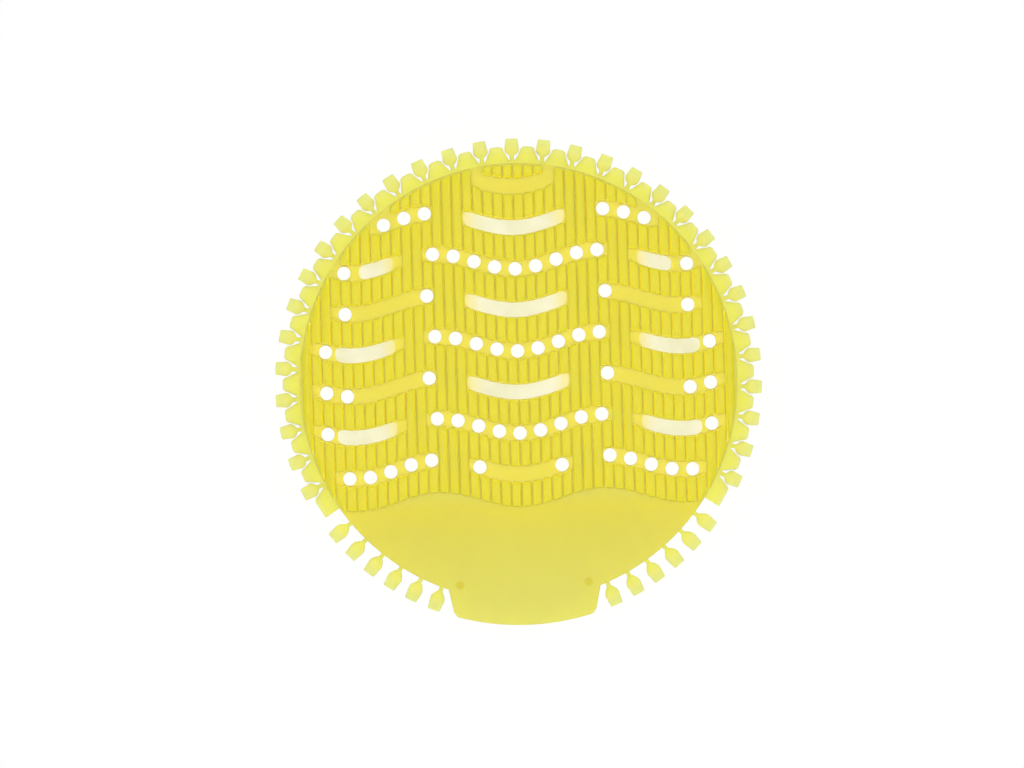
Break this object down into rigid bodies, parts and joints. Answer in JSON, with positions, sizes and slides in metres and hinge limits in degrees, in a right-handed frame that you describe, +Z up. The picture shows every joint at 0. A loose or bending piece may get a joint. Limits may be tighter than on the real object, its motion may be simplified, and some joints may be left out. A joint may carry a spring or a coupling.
{
  "type": "urinal deodorizer screen",
  "caption": "Flat round splash screen with wavy ridges of upright fins, drain holes and slots, a rim of small flexible paddles and a smooth lifting tab.",
  "frame": {"origin": "centre of the disc, on the plane that the feet stand on", "axes": "+Z up from the feet to the tips of the fins, -Y towards the lifting tab, +X to the right when the tab points to the viewer"},
  "size_m": [0.18, 0.1799, 0.012],
  "materials": {
    "soft_plastic": "soft, waxy, slightly translucent yellow plastic, moulded, satin sheen"
  },
  "bodies": {
    "root": {"deodorizer_screen": "soft_plastic"}
  },
  "joints": []
}
